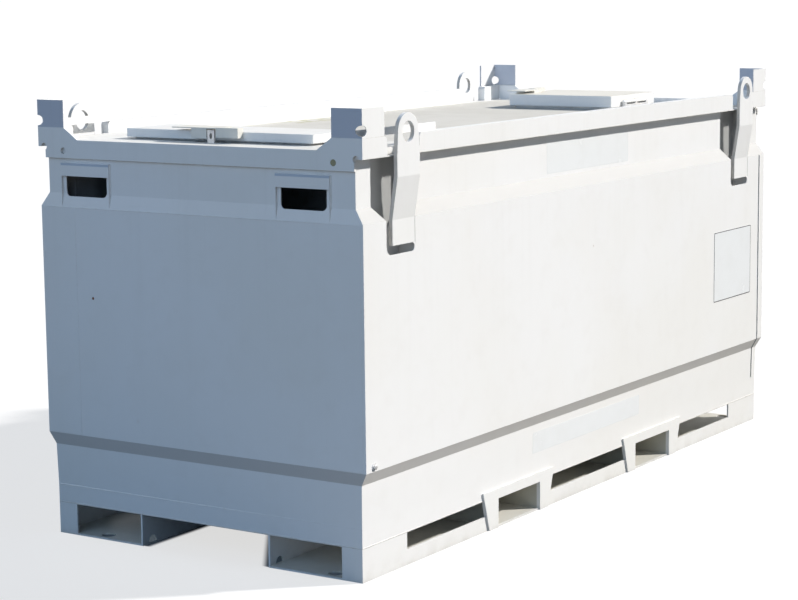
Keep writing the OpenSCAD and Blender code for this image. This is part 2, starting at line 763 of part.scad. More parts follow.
// Two boxes on the skirt with the padlock's space between them, a tab, and a plate over it all.
module lock_box(l, up) {
    x0 = hinge_off + l;
    x1 = x0 + lock_d;
    space_y0 = lock_shift - lock_space / 2;
    space_y1 = lock_shift + lock_space / 2;
    open_box(x0, space_y0 - lock_w, lock_w, up + lock_up - lock_h, up + lock_up);
    open_box(x0, space_y1, side_lock_w, up + plate_up - lock_h, up + plate_up);
    translate([x1 - plate_l, space_y1, up]) cube([plate_l - lock_d, side_lock_w, plate_up]);
    translate([x1 - hasp_t, space_y1 - tab_w, up + plate_up - lock_h]) cube([hasp_t, tab_w, lock_h]);
    translate([x1 - plate_l, space_y0, up + plate_up])
        cube([plate_l, lock_space + side_lock_w + plate_wing, plate_t]);
}

// A plate on the deck, in the padlock's space, with an oval hole for the shackle.
module hasp(l, up, foot) {
    x1 = hinge_off + l + lock_d;
    y1 = lock_shift + lock_space / 2 - tab_w - hasp_gap;
    top = up + plate_up - hasp_gap;
    difference() {
        translate([x1 - hasp_t, y1 - hasp_w, foot]) cube([hasp_t, hasp_w, top - foot]);
        translate([x1 - 2 * hasp_t, y1 - hasp_w / 2, top - hasp_hole_h]) rotate([90, 0, 90])
            linear_extrude(3 * hasp_t) scale([hasp_hole_w / 2, hasp_hole_h / 2]) circle(r = 1);
    }
}

// The cabinet's hinge faces the middle of the deck. The hatch's hinge lies along the front.
module at_cabinet() { translate([near_lid_x1 + hinge_off, 0, deck_z]) mirror([1, 0, 0]) children(); }
module at_hatch() { translate([hatch_x, -far_lid_w / 2 - hinge_off, deck_z]) rotate([0, 0, 90]) children(); }

module cabinet_coaming() { color(white) at_cabinet() coaming(near_lid_l, near_lid_w, near_lid_up, step_h); }
module cabinet_lid() { color(white) at_cabinet() lid(near_lid_l, near_lid_w, near_lid_up, near_low, near_hinge_l); }
module cabinet_hinge_ears() { color(steel) at_cabinet() hinge_ears(near_low, near_hinge_l, step_h); }
module cabinet_lock_box() { color(cream) at_cabinet() lock_box(near_lid_l, near_lid_up); }
module cabinet_hasp() { color(steel) at_cabinet() hasp(near_lid_l, near_lid_up, step_h); }
module hatch_coaming() { color(white) at_hatch() coaming(far_lid_w, far_lid_l, far_lid_up, 0); }
module hatch_lid() { color(white) at_hatch() lid(far_lid_w, far_lid_l, far_lid_up, far_low, far_hinge_l); }
module hatch_hinge_ears() { color(steel) at_hatch() hinge_ears(far_low, far_hinge_l, 0); }
module hatch_lock_box() { color(cream) at_hatch() lock_box(far_lid_w, far_lid_up); }
module hatch_hasp() { color(steel) at_hatch() hasp(far_lid_w, far_lid_up, 0); }

// ---- Inner tank ----

module inner_tank() {
    color(shade) difference() {
        translate([inner_x0 + inner_t, -inner_y, inner_z0])
            cube([inner_x1 - inner_x0 - inner_t, 2 * inner_y, inner_z1 - inner_z0]);
        translate([inner_x0, -inner_y + inner_t, inner_z0 + inner_t])
            cube([inner_x1 - inner_x0 - inner_t, 2 * (inner_y - inner_t), inner_z1 - inner_z0]);
    }
}

module inner_tank_end() {
    color(shade) translate([inner_x0, -inner_y, inner_z0]) cube([inner_t, 2 * inner_y, inner_z1 - inner_z0]);
}

module inner_tank_roof() {
    color(shade) difference() {
        translate([inner_x0, -inner_y, inner_z1]) cube([inner_x1 - inner_x0, 2 * inner_y, inner_t]);
        translate([hatch_x, 0, inner_z1 - inner_t]) cylinder(r = manway_r, h = 3 * inner_t);
    }
}

module inner_tank_bearers() {
    pitch = (inner_x1 - inner_x0 - bearer_h) / (bearer_n - 1);
    color(steel) for (i = [0:bearer_n - 1])
        translate([inner_x0 + i * pitch, -inner_y, base_h]) cube([bearer_h, 2 * inner_y, bearer_h]);
}

module manway_neck() {
    z0 = inner_z1 + inner_t;
    color(shade) translate([hatch_x, 0, z0]) difference() {
        union() {
            cylinder(r = manway_r + manway_t, h = manway_h);
            translate([0, 0, manway_h - manway_cover_t]) cylinder(r = manway_r + manway_flange, h = manway_cover_t);
        }
        translate([0, 0, -eps]) cylinder(r = manway_r, h = manway_h + 2 * eps);
    }
}

module manway_cover() {
    color(white) translate([hatch_x, 0, inner_z1 + inner_t + manway_h])
        cylinder(r = manway_r + manway_flange, h = manway_cover_t);
}

bund_floor();
front_wall();
back_wall();
near_end_wall();
far_end_wall();
front_skid();
back_skid();
near_fork_pocket();
far_fork_pocket();
deck();
front_rail();
back_rail();
near_end_plate();
far_end_plate();
near_front_angle();
near_back_angle();
far_front_angle();
far_back_angle();
near_front_lug();
near_back_lug();
far_front_lug();
far_back_lug();
near_front_recess();
near_back_recess();
far_front_recess();
far_back_recess();
front_slot_hood();
back_slot_hood();
cabinet_coaming();
cabinet_lid();
cabinet_hinge_ears();
cabinet_lock_box();
cabinet_hasp();
hatch_coaming();
hatch_lid();
hatch_hinge_ears();
hatch_lock_box();
hatch_hasp();
inner_tank();
inner_tank_end();
inner_tank_roof();
inner_tank_bearers();
manway_neck();
manway_cover();
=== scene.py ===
import json
import math
import bpy
from mathutils import Vector, Matrix


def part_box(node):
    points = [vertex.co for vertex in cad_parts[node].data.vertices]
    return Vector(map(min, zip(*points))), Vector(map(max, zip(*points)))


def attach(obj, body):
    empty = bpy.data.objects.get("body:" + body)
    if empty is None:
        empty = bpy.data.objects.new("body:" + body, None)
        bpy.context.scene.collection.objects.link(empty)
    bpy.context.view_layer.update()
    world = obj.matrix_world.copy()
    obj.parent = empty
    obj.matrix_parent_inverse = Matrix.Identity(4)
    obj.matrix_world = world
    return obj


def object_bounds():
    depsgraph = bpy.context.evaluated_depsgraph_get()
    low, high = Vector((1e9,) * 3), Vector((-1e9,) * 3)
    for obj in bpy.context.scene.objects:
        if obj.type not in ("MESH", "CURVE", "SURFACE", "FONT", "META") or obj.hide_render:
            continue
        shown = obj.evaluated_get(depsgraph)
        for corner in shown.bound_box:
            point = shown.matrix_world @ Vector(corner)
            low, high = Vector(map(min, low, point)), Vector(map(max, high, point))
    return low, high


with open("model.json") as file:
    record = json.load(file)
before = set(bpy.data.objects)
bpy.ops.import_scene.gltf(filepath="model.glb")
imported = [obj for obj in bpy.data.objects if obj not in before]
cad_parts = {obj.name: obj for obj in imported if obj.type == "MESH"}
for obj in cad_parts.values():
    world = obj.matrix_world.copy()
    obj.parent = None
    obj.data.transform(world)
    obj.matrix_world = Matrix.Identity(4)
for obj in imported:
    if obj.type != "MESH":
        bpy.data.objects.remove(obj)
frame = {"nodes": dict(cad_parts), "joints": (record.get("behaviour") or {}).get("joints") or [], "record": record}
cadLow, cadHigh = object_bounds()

nodes = frame["nodes"]
scene = bpy.context.scene

# sizes read from the frame

def at(node):
    low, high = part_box(node)
    return low, high


# what the boxes don't give: the band under the rail, the slope below it, the low slope, and
# the flare under that
fold = {"bandIn": 0.064, "slopeHigh": 0.085, "low": 0.581, "lowTop": 0.658, "flare": 0.322,
        "flareOut": 0.005}

railTop = at("near_end_plate")[1].z
tankEnd = cadHigh.x              # outer face of the end plates and angles
wallEnd = at("far_end_wall")[1].x
bandEnd, railFace = at("deck")[1].x, at("deck")[1].y
wallFace = at("back_wall")[1].y
baseEnd, baseFace = at("back_skid")[1].x, at("back_skid")[1].y
baseTop = at("bund_floor")[1].z
bandFace = railFace - fold["bandIn"]
foldUp, hoodTop = at("front_slot_hood")[0].z, at("front_slot_hood")[1].z
slopeTop = foldUp + fold["slopeHigh"]
foldLow, slopeLowTop, flareZ = fold["low"], fold["lowTop"], fold["flare"]
lugX = (at("far_back_lug")[0].x + at("far_back_lug")[1].x) / 2
print("frame loaded:", len(nodes), "nodes")


# shader maths

class Wire:
    # one output socket, with plain arithmetic on it
    def __init__(self, finish, socket):
        self.finish = finish
        self.socket = socket

    def maths(self, operation, first, second):
        return self.finish.add("ShaderNodeMath", {"operation": operation}, {0: first, 1: second})

    def __add__(self, other):
        return self.maths("ADD", self, other)

    def __mul__(self, other):
        return self.maths("MULTIPLY", self, other)

    def __sub__(self, other):
        return self.maths("SUBTRACT", self, other)

    def __rsub__(self, other):
        return self.maths("SUBTRACT", other, self)

    def __abs__(self):
        return self.maths("ABSOLUTE", self, 0.0)

    __radd__ = __add__
    __rmul__ = __mul__


class Finish:
    # a material in the making: add() makes any node and returns its output as a Wire
    def __init__(self, owner):
        owner.use_nodes = True
        self.owner = owner
        self.tree = owner.node_tree
        self.tree.nodes.clear()
        self.objectPlace = None

    def make(self, kind, settings=None, inputs=None):
        made = self.tree.nodes.new(kind)
        for key, value in (settings or {}).items():
            setattr(made, key, value)
        for key, value in (inputs or {}).items():
            if isinstance(value, Wire):
                self.tree.links.new(value.socket, made.inputs[key])
            else:
                made.inputs[key].default_value = value
        return made

    def add(self, kind, settings=None, inputs=None, output=0):
        return Wire(self, self.make(kind, settings, inputs).outputs[output])

    def parts(self, vector):
        split = self.make("ShaderNodeSeparateXYZ", None, {0: vector})
        return [Wire(self, out) for out in split.outputs]

    def place(self, stretch=(1, 1, 1), shift=(0, 0, 0)):
        if not self.objectPlace:
            self.objectPlace = self.add("ShaderNodeTexCoord", output="Object")
        return self.add("ShaderNodeMapping", None,
                        {"Vector": self.objectPlace, "Location": shift, "Scale": stretch})

    def noise(self, scale, detail=3.0, rough=0.55, stretch=(1, 1, 1), shift=(0, 0, 0)):
        return self.add("ShaderNodeTexNoise", None,
                        {"Vector": self.place(stretch, shift), "Scale": scale,
                         "Detail": detail, "Roughness": rough})

    def step(self, value, low, high):
        return self.add("ShaderNodeMapRange", {"interpolation_type": "SMOOTHSTEP"},
                        {0: value, 1: low, 2: high, 3: 0.0, 4: 1.0})

    def mix(self, share, first, second):
        return self.add("ShaderNodeMix", {"data_type": "RGBA"}, {0: share, 6: first, 7: second}, 2)


def rgb(red, green, blue):
    return (red, green, blue, 1.0)


rust = rgb(0.23, 0.085, 0.035)
oldRust = rgb(0.12, 0.055, 0.032)
primer = rgb(0.23, 0.22, 0.205)
roadDirt = rgb(0.36, 0.325, 0.275)
dryDust = rgb(0.62, 0.585, 0.52)


# paint on steel

paintPlan = {
    "wall_paint": {"colour": rgb(0.90, 0.90, 0.895), "rough": 0.36, "streak": 0.05, "dust": 0.10,
                   "splash": 0.34, "soil": 0.12, "wave": 0.0035, "wear": 0.35, "speck": 0.45,
                   "grime": 0.28, "knock": (-2.780, 0.813, 1.539)},
    "base_paint": {"colour": rgb(0.88, 0.88, 0.87), "rough": 0.42, "streak": 0.03, "dust": 0.30,
                   "splash": 0.14, "soil": 0.16, "wave": 0.0010, "wear": 0.75, "speck": 0.6,
                   "grime": 0.34},
    "roof_paint": {"colour": rgb(0.90, 0.90, 0.89), "rough": 0.38, "streak": 0.05, "dust": 0.10,
                   "splash": 0.0, "wave": 0.0008, "wear": 0.60, "speck": 0.7, "grime": 0.35},
    "angle_paint": {"colour": rgb(0.90, 0.90, 0.89), "rough": 0.40, "streak": 0.05, "dust": 0.10,
                    "splash": 0.0, "wave": 0.0006, "wear": 0.8, "speck": 0.8, "grime": 0.35,
                    # painted shade, bluish, on the angles' end faces
                    "ends": {"share": 1.0, "from": railTop - 0.002, "soft": 0.006,
                             "colour": rgb(0.52, 0.56, 0.64)}},
    "lug_paint": {"colour": rgb(0.89, 0.89, 0.88), "rough": 0.40, "streak": 0.05, "dust": 0.10,
                  "splash": 0.0, "wave": 0.0005, "wear": 0.9, "speck": 0.8, "grime": 0.30,
                  # painted shade, warm grey, on the lugs' edge faces
                  "ends": {"share": 0.85, "from": 0.0, "soft": 0.006,
                           "colour": rgb(0.60, 0.56, 0.50)}},
    "lid_paint": {"colour": rgb(0.87, 0.87, 0.855), "rough": 0.34, "streak": 0.06, "dust": 0.30,
                  "splash": 0.0, "wave": 0.0015, "wear": 0.5, "speck": 0.5, "grime": 0.25,
                  "farTop": {"share": 0.75, "from": 1.5, "colour": rgb(0.74, 0.70, 0.60)}},
    "lock_paint": {"colour": rgb(0.79, 0.775, 0.71), "rough": 0.42, "streak": 0.10, "dust": 0.25,
                   "splash": 0.0, "wave": 0.0005, "wear": 0.7, "speck": 0.7, "grime": 0.30},
    "inner_paint": {"colour": rgb(0.46, 0.47, 0.47), "rough": 0.55, "streak": 0.05, "dust": 0.35,
                    "splash": 0.5, "soil": 0.8, "wave": 0.0015, "wear": 0.3, "speck": 1.2,
                    "grime": 0.40},
    "deck_paint": {"colour": rgb(0.84, 0.835, 0.81), "rough": 0.5, "streak": 0.0, "dust": 0.3,
                   "splash": 0.0, "wave": 0.0010, "wear": 0.5, "speck": 0.6, "grime": 0.45},
    "weld_paint": {"colour": rgb(0.80, 0.79, 0.76), "rough": 0.46, "streak": 0.0, "dust": 0.2,
                   "splash": 0.3, "soil": 0.2, "wave": 0.0, "wear": 0.3, "speck": 1.2,
                   "grime": 0.4, "ripple": 0.0005},
}


def sheetTone(f, plan, z, normal, mottle):
    # slow changes of tone over a sheet, a duller paint across the length, painted shade on the end faces where the
    # plan has it, and a fine mottle
    pale = plan["colour"]
    warmer = tuple(c * k for c, k in zip(pale, (0.975, 0.968, 0.945, 1.0)))
    colour = f.mix(f.step(f.noise(0.55, 3.0), 0.38, 0.66), pale, warmer)
    # painted shade on the faces across the length: bluish on the angles' ends above the rails, warm grey on the
    # lugs' edges
    if "ends" in plan:
        ends = plan["ends"]
        across = f.step(abs(normal[0]), 0.6, 0.9)
        above = f.step(z, ends["from"], ends["from"] + ends["soft"])
        colour = f.mix(across * above * ends["share"], colour, ends["colour"])
    return f.mix(f.step(mottle, 0.45, 0.75) * 0.06, colour, dryDust)


def rainStreaks(f, z, upright):
    # strongest under the roof frame and the folds
    grain = f.noise(1.0, 5.0, 0.62, stretch=(11.0, 11.0, 0.32))
    fine = f.noise(1.0, 4.0, 0.6, stretch=(34.0, 34.0, 0.7), shift=(0.4, 0.8, 0))
    fall = 0.30 + 0.70 * f.step(z, 0.9, 2.42)
    return (f.step(grain, 0.50, 0.72) * 0.65 + f.step(fine, 0.56, 0.74) * 0.5) * upright * fall


def splashedDirt(f, plan, z, mottle):
    # road dirt near the ground, to an uneven height
    reach = f.noise(2.6, 4.0, 0.6, shift=(0, 0, 5.0))
    height = z + (reach - 0.5) * plan["splash"] * 0.9
    return (1.0 - f.step(height, -0.05, plan["splash"])) \
        * (0.30 + 0.70 * f.step(mottle, 0.40, 0.66)) * plan["soil"]


# painted shade under the low slopes, the upper slopes of the long sides painted darker to tone
# down the light they catch, a painted shade line along the tops of the hoods, and painted shade in the lugs'
# recesses
wallShade = {"under": {"share": 0.75, "sides": 0.45, "ends": 0.63,
                      "colour": rgb(0.33, 0.295, 0.265)},
            "ledge": {"share": 0.95, "rough": 0.30, "colour": rgb(0.55, 0.545, 0.53)},
            "hood": {"share": 0.60, "high": 0.016, "out": 0.012, "colour": rgb(0.30, 0.40, 0.56)},
            "recess": {"share": 0.85, "least": 0.25, "deep": 0.006, "left": 0.160, "right": 0.262,
                       "colour": rgb(0.32, 0.325, 0.32)},
            "edge": 0.003}


def paintWallShade(f, colour, place, normal):
    # returns the colour and where the upper slopes are painted darker
    x, y, z = place
    under, ledge, hood, recess = (wallShade[key] for key in ("under", "ledge", "hood", "recess"))

    def past(value, limit):
        return f.step(value, limit, limit + wallShade["edge"])

    # painted shade on the faces that lean down, most on the ends
    downFacingShade = f.step(0.0 - normal[2], 0.10, 0.17) \
        * (under["sides"] + (under["ends"] - under["sides"]) * f.step(abs(normal[0]), 0.5, 0.8))
    colour = f.mix(downFacingShade * under["share"], colour, under["colour"])
    # the upper slopes of the long sides painted darker and rougher, a painted shade that tones down the light they
    # catch
    dimmedUpperSlope = f.step(normal[2], 0.35, 0.5) * (1.0 - f.step(normal[2], 0.7, 0.85)) \
        * (1.0 - f.step(abs(normal[0]), 0.3, 0.5))
    colour = f.mix(dimmedUpperSlope * ledge["share"], colour, ledge["colour"])
    # a painted shade line, bluish, along the tops of the hoods
    line = past(z, hoodTop - hood["high"]) * past(0.0 - x, bandEnd + hood["out"])
    colour = f.mix(line * hood["share"], colour, hood["colour"])
    # the painted shade in the recess thickens towards the lug, and stops above the slot's foot
    byLug = x + lugX - 2 * lugX * f.step(x, -0.1, 0.1)
    recessShadeMask = (1.0 - past(abs(y), bandFace - recess["deep"])) \
        * past(abs(x), lugX - recess["left"]) * (1.0 - past(abs(x), lugX + recess["right"])) \
        * f.step(z, foldUp - 0.08, foldUp - 0.03) \
        * (recess["least"] + (1.0 - recess["least"]) * f.step(byLug, -0.12, -0.01))
    return f.mix(recessShadeMask * recess["share"], colour, recess["colour"]), dimmedUpperSlope


# painted shade inside the skids, olive with the warm tint of light bounced from the ground: most on the faces
# across the length, least on the side faces
skidShade = {"share": 0.70, "sides": 0.05, "floors": 0.5, "across": 0.9, "deep": 0.016,
            "edge": 0.004, "colour": rgb(0.42, 0.40, 0.29)}


def paintSkidShade(f, colour, place, normal, upward):
    faceIn, endIn = baseFace - skidShade["deep"], baseEnd - skidShade["deep"]
    inside = (1.0 - f.step(abs(place[1]), faceIn, faceIn + skidShade["edge"])) \
        * (1.0 - f.step(abs(place[0]), endIn, endIn + skidShade["edge"]))
    across = f.step(abs(normal[0]), 0.5, 0.8)
    share = skidShade["sides"] + skidShade["floors"] * upward + skidShade["across"] * across
    # darker olive paint deep inside, a painted shade
    return f.mix(inside * share * skidShade["share"], colour, skidShade["colour"])


def knockedEdges(f, plan, nick):
    # 1 where paint is off an edge: there the rounded normal leaves the true one
    soft = f.add("ShaderNodeBevel", {"samples": 6}, {"Radius": 0.0045})
    sharp = f.add("ShaderNodeNewGeometry", output="Normal")
    turn = f.add("ShaderNodeVectorMath", {"operation": "DOT_PRODUCT"}, {0: soft, 1: sharp}, "Value")
    patch = f.noise(1.7, 2.0, shift=(9.0, 1.0, 4.0))
    return f.step(1.0 - turn, 0.02, 0.16) * f.step(nick, 0.56, 0.63) \
        * f.step(patch, 0.42, 0.62) * plan["wear"]


def rustSpots(f, plan, colour):
    # small spots, each in a faint stain, and a bleed of rust over the worst paint
    cell = f.make("ShaderNodeTexVoronoi", {"feature": "F1"},
                  {"Vector": f.place((1, 1, 0.8)), "Scale": 2.6, "Randomness": 1.0})
    near = Wire(f, cell.outputs["Distance"]) + (f.noise(90.0, 3.0) - 0.5) * 0.02
    chosen = f.step(f.parts(Wire(f, cell.outputs["Color"]))[0], 0.62, 0.66)
    spot = (1.0 - f.step(near, 0.004, 0.013)) * chosen
    halo = (1.0 - f.step(near, 0.0, 0.05)) * chosen * 0.22
    colour = f.mix(halo * min(plan["speck"], 1.0), colour, rgb(0.50, 0.33, 0.20))
    colour = f.mix(spot * min(plan["speck"], 1.0), colour, oldRust)
    if plan["speck"] > 1.0:
        bleed = f.step(f.noise(16.0, 5.0, 0.7, shift=(2.0, 2.0, 8.0)), 0.50, 0.66)
        colour = f.mix(bleed * 0.16 * plan["speck"], colour, rust)
    return colour


def paintedSteel(name, plan):
    f = Finish(bpy.data.materials.new(name))
    position = f.add("ShaderNodeTexCoord", output="Object")
    x, y, z = place = f.parts(position)
    normal = f.parts(f.add("ShaderNodeTexCoord", output="Normal"))
    upright = 1.0 - f.step(abs(normal[2]), 0.45, 0.85)
    upward = f.step(normal[2], 0.55, 0.95)
    mottle = f.noise(7.0, 5.0, 0.6, shift=(3.1, 0.7, 1.9))
    nick = f.noise(24.0, 4.0, 0.65, shift=(1.0, 4.0, 2.0))
    rough = plan["rough"] + (mottle - 0.5) * 0.14

    colour = sheetTone(f, plan, z, normal, mottle)
    colour = f.mix(rainStreaks(f, z, upright) * plan["streak"], colour, roadDirt)
    if plan["splash"]:
        dirt = splashedDirt(f, plan, z, mottle)
        colour = f.mix(dirt, colour, roadDirt)
        rough = rough + dirt * 0.35
    if name == "wall_paint":
        colour, dimmedUpperSlope = paintWallShade(f, colour, place, normal)
        rough = rough + dimmedUpperSlope * wallShade["ledge"]["rough"]
    if name == "base_paint":
        colour = paintSkidShade(f, colour, place, normal, upward)
    if "farTop" in plan:
        top = plan["farTop"]
        colour = f.mix(upward * f.step(x, top["from"], top["from"] + 0.1) * top["share"],
                       colour, top["colour"])

    # dust that lies on top, in blotches where water stood
    blotch = f.step(f.noise(2.3, 5.0, 0.62, shift=(7.0, 2.0, 0)), 0.42, 0.64)
    dust = upward * (0.35 + 0.65 * blotch) * plan["dust"]
    colour = f.mix(dust, colour, dryDust)
    grit = None
    if name == "deck_paint":
        colour, grit = grittyDeck(f, colour, x, y, mottle)

    # grime in corners, with painted shade: darker wherever the ambient occlusion finds a corner
    openness = f.add("ShaderNodeAmbientOcclusion", {"samples": 6}, {"Distance": 0.045}, "AO")
    corner = (1.0 - f.step(openness, 0.25, 0.95)) * (0.35 + 0.65 * f.step(mottle, 0.36, 0.62))
    colour = f.mix(corner * plan["grime"], colour, roadDirt)

    # paint knocked off the edges and in one place on the wall, down to primer and rust
    chipped = knockedEdges(f, plan, nick)
    bare = f.mix(f.step(f.noise(60.0, 3.0), 0.42, 0.58), primer, rust)
    colour = f.mix(chipped, colour, bare)
    if "knock" in plan:
        away = f.add("ShaderNodeVectorMath", {"operation": "DISTANCE"},
                     {0: position, 1: plan["knock"]}, "Value")
        colour = f.mix(1.0 - f.step(away + (nick - 0.5) * 0.02, 0.007, 0.011), colour, rust)
    colour = rustSpots(f, plan, colour)

    # the sheet's slow waves, the orange peel of sprayed enamel, and the step at a chip
    wave = f.noise(1.35, 2.0, 0.4, shift=(4.0, 4.0, 4.0))
    height = (wave - 0.5) * plan["wave"] + (f.noise(330.0, 2.0, 0.5) - 0.5) * 0.00007 \
        + (nick - 0.5) * 0.00012 - chipped * 0.00035
    rough = rough + chipped * 0.30 + dust * 0.30 + corner * 0.15
    if "ripple" in plan:
        height = height + (f.noise(150.0, 2.0, 0.5) - 0.5) * plan["ripple"]
    if grit:
        height = height + grit["height"]
        rough = rough + grit["mask"] * 0.28
    rounded = f.add("ShaderNodeBevel", {"samples": 4}, {"Radius": 0.0012})
    bump = f.add("ShaderNodeBump", None, {"Strength": 1.0, "Distance": 1.0, "Height": height,
                                          "Normal": rounded}, "Normal")
    finishUp(f, {"Base Color": colour, "Roughness": rough, "Normal": bump})
    return f.owner


def finishUp(f, inputs):
    shader = f.add("ShaderNodeBsdfPrincipled", None, inputs, "BSDF")
    f.make("ShaderNodeOutputMaterial", None, {"Surface": shader})


# the gritty walking surface, inside a border of plain white paint with a torn edge
deckGrit = {"near": -2.020, "far": 2.668, "half": 1.108, "edge": 0.006, "torn": 0.012,
            "lidX": -1.75, "growthAt": (-0.17, 1.05), "hingeX": -2.075, "high": 0.0009,
            "sand": rgb(0.725, 0.70, 0.645), "darkSand": rgb(0.66, 0.635, 0.575),
            "grain": rgb(0.46, 0.43, 0.38), "trodden": rgb(0.37, 0.315, 0.25),
            "growth": rgb(0.42, 0.40, 0.16), "rust": rgb(0.42, 0.22, 0.13)}


def grittyDeck(f, colour, x, y, mottle):
    near, far, half, edge = (deckGrit[key] for key in ("near", "far", "half", "edge"))
    torn = (f.noise(22.0, 4.0, 0.6, shift=(0, 3.0, 0)) - 0.5) * deckGrit["torn"]
    mask = (1.0 - f.step(x + torn, far, far + edge)) * f.step(x + torn, near, near + edge) \
        * (1.0 - f.step(abs(y) + torn, half, half + edge))
    speckle = f.noise(420.0, 2.0, 0.6)
    broad = f.noise(1.4, 5.0, 0.62, shift=(1.5, 6.0, 0))
    sand = f.mix(f.step(broad, 0.36, 0.64), deckGrit["sand"], deckGrit["darkSand"])
    sand = f.mix(f.step(speckle, 0.50, 0.62) * 0.22, sand, deckGrit["grain"])
    # trodden dirt beside the cabinet's lid, and green growth near the back rail
    trodden = f.step(f.noise(3.0, 5.0, 0.65, shift=(2.0, 8.0, 0)), 0.46, 0.70)
    byLid = (1.0 - f.step(abs(x - deckGrit["lidX"]), 0.10, 0.75)) * trodden
    sand = f.mix(byLid * 0.45, sand, deckGrit["trodden"])
    growthX, growthY = deckGrit["growthAt"]
    damp = (1.0 - f.step(abs(x - growthX), 0.08, 0.42)) \
        * (1.0 - f.step(abs(y - growthY), 0.08, 0.26))
    growth = damp * f.step(f.noise(11.0, 5.0, 0.66, shift=(5.0, 5.0, 0)), 0.44, 0.62)
    sand = f.mix(growth * 0.6, sand, deckGrit["growth"])
    # a line of rust from the long hinge
    hingeLine = (1.0 - f.step(abs(x - deckGrit["hingeX"]), 0.006, 0.040)) \
        * (1.0 - f.step(abs(y), 0.42, 0.60))
    stain = hingeLine * f.step(mottle, 0.36, 0.60)
    sand = f.mix(stain * 0.5, sand, deckGrit["rust"])
    return f.mix(mask, colour, sand), {"mask": mask, "height": mask * speckle * deckGrit["high"]}


finishes = {name: paintedSteel(name, plan) for name, plan in paintPlan.items()}


# steel, rubber, film

zinc = {"dark": rgb(0.66, 0.665, 0.67), "pale": rgb(0.76, 0.765, 0.77),
        "stain": rgb(0.42, 0.30, 0.20), "spangle": 130.0, "rough": 0.46, "metallic": 0.75}


def zincSteel():
    f = Finish(bpy.data.materials.new("hinge_steel"))
    spangle = f.add("ShaderNodeTexVoronoi", {"feature": "F1"},
                    {"Vector": f.place(), "Scale": zinc["spangle"]}, "Color")
    flake = f.parts(spangle)[0]
    wear = f.noise(45.0, 4.0, 0.6)
    stain = f.step(f.noise(14.0, 5.0, 0.66, shift=(2.0, 0, 5.0)), 0.52, 0.68)
    colour = f.mix(stain * 0.22, f.mix(flake, zinc["dark"], zinc["pale"]), zinc["stain"])
    rough = zinc["rough"] + (wear - 0.5) * 0.2 + stain * 0.20
    height = (wear - 0.5) * 0.0002 + (f.noise(300.0, 2.0) - 0.5) * 0.00008
    bump = f.add("ShaderNodeBump", None, {"Distance": 1.0, "Height": height}, "Normal")
    finishUp(f, {"Base Color": colour, "Roughness": rough,
                 "Metallic": zinc["metallic"] - stain * 0.4, "Normal": bump})
    return f.owner


plainPlan = {
    "seal": {"colour": rgb(0.035, 0.035, 0.037), "rough": 0.62, "dirt": 0.25, "grain": 180.0},
    "sealant": {"colour": rgb(0.20, 0.205, 0.21), "rough": 0.60, "dirt": 0.20, "grain": 240.0},
    "bung": {"colour": rgb(0.30, 0.285, 0.17), "rough": 0.55, "dirt": 0.20, "grain": 200.0},
    "film": {"colour": rgb(0.87, 0.89, 0.895), "rough": 0.24, "dirt": 0.05, "grain": 90.0},
    "printedEdge": {"colour": rgb(0.055, 0.057, 0.06), "rough": 0.30, "dirt": 0.06, "grain": 90.0},
}


def plainFinish(name, colour, rough, dirt, grain):
    f = Finish(bpy.data.materials.new(name))
    cloud = f.noise(5.0, 5.0, 0.6, shift=(2.0, 6.0, 1.0))
    close = f.noise(grain, 3.0, 0.6)
    shade = f.mix(f.step(cloud, 0.40, 0.70) * dirt, colour, roadDirt)
    shade = f.mix(f.step(close, 0.5, 0.8) * dirt, shade, dryDust)
    bump = f.add("ShaderNodeBump", None, {"Distance": 1.0, "Height": (close - 0.5) * 0.00012},
                 "Normal")
    finishUp(f, {"Base Color": shade, "Roughness": rough + (cloud - 0.5) * 0.2, "Normal": bump})
    return f.owner


finishes["hinge_steel"] = zincSteel()
for name, plan in plainPlan.items():
    finishes[name] = plainFinish(name, **plan)

for part in frame["record"]["subparts"]:
    # the angles take a paint of their own, which has painted shade on its end faces
    isAngle = part["node"].endswith("_angle")
    for holder in nodes[part["node"]].material_slots:
        holder.material = finishes["angle_paint" if isAngle else part["material_slot"]]
print("finishes made:", len(finishes))


# making pieces

def clearSelection():
    if bpy.context.object and bpy.context.object.mode != "OBJECT":
        bpy.ops.object.mode_set(mode="OBJECT")
    bpy.ops.object.select_all(action="DESELECT")


def block(low, high, turn=(0, 0, 0)):
    # a cube between two corners, ready to be shaped
    clearSelection()
    low, high = Vector(low), Vector(high)
    bpy.ops.mesh.primitive_cube_add(size=1, location=(low + high) / 2, rotation=turn,
                                    scale=high - low)
    bpy.ops.object.transform_apply(location=True, rotation=True, scale=True)
    return bpy.context.object


def rod(start, end, radius, sides=12):
    # a cylinder between two points
    clearSelection()
    start, end = Vector(start), Vector(end)
    along = end - start
    turn = along.to_track_quat("Z", "Y").to_euler()
    bpy.ops.mesh.primitive_cylinder_add(vertices=sides, radius=radius, depth=along.length,
                                        location=(start + end) / 2, rotation=turn)
    bpy.ops.object.transform_apply(location=True, rotation=True, scale=True)
    return bpy.context.object


def pick(piece, kind, test):
    # selects the faces or edges that pass the test, and enters edit mode
    bpy.context.view_layer.objects.active = piece
    piece.select_set(True)
    mesh = piece.data
    bpy.ops.object.mode_set(mode="EDIT")
    bpy.ops.mesh.select_mode(type=kind)
    bpy.ops.mesh.select_all(action="DESELECT")
    bpy.ops.object.mode_set(mode="OBJECT")
    for thing in (mesh.polygons if kind == "FACE" else mesh.edges):
        thing.select = bool(test(thing))
    bpy.ops.object.mode_set(mode="EDIT")


def edgeLength(mesh, edge):
    a, b = (mesh.vertices[i].co for i in edge.vertices)
    return (a - b).length


def edgeSpan(mesh, edge, axis):
    # how far an edge runs along one axis
    a, b = (mesh.vertices[i].co for i in edge.vertices)
    return abs(a[axis] - b[axis])


